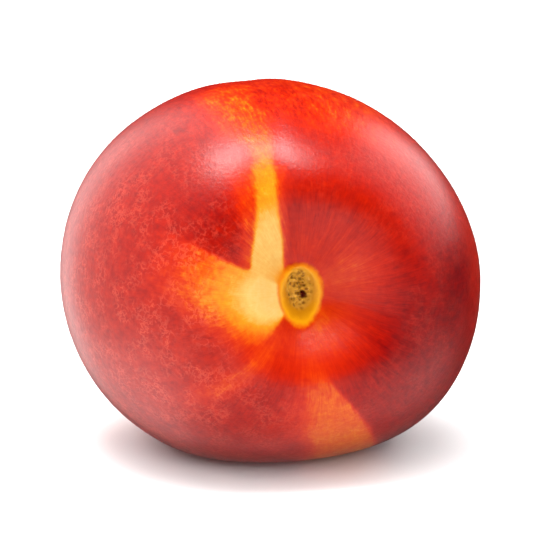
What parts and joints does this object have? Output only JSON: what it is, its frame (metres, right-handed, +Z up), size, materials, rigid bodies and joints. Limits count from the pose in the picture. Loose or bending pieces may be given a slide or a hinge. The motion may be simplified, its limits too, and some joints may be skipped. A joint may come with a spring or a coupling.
{
  "type": "nectarine",
  "caption": "Ripe nectarine lying on its side on a small flat spot: smooth-skinned stone fruit with a hollow around the stem scar and a seam to the blossom end.",
  "frame": {"origin": "on the surface that the fruit rests on, under the middle of its box", "axes": "+Z up; +X to the right for someone facing the stem scar, along the widest way across the cheeks; the stem scar faces -Y, turned 12.5 degrees towards +X and 3.3 degrees up; +Y towards the blossom end"},
  "size_m": [0.07, 0.0662, 0.0613],
  "materials": {
    "skin": "satin"
  },
  "bodies": {
    "root": {"nectarine": "skin"}
  },
  "joints": []
}
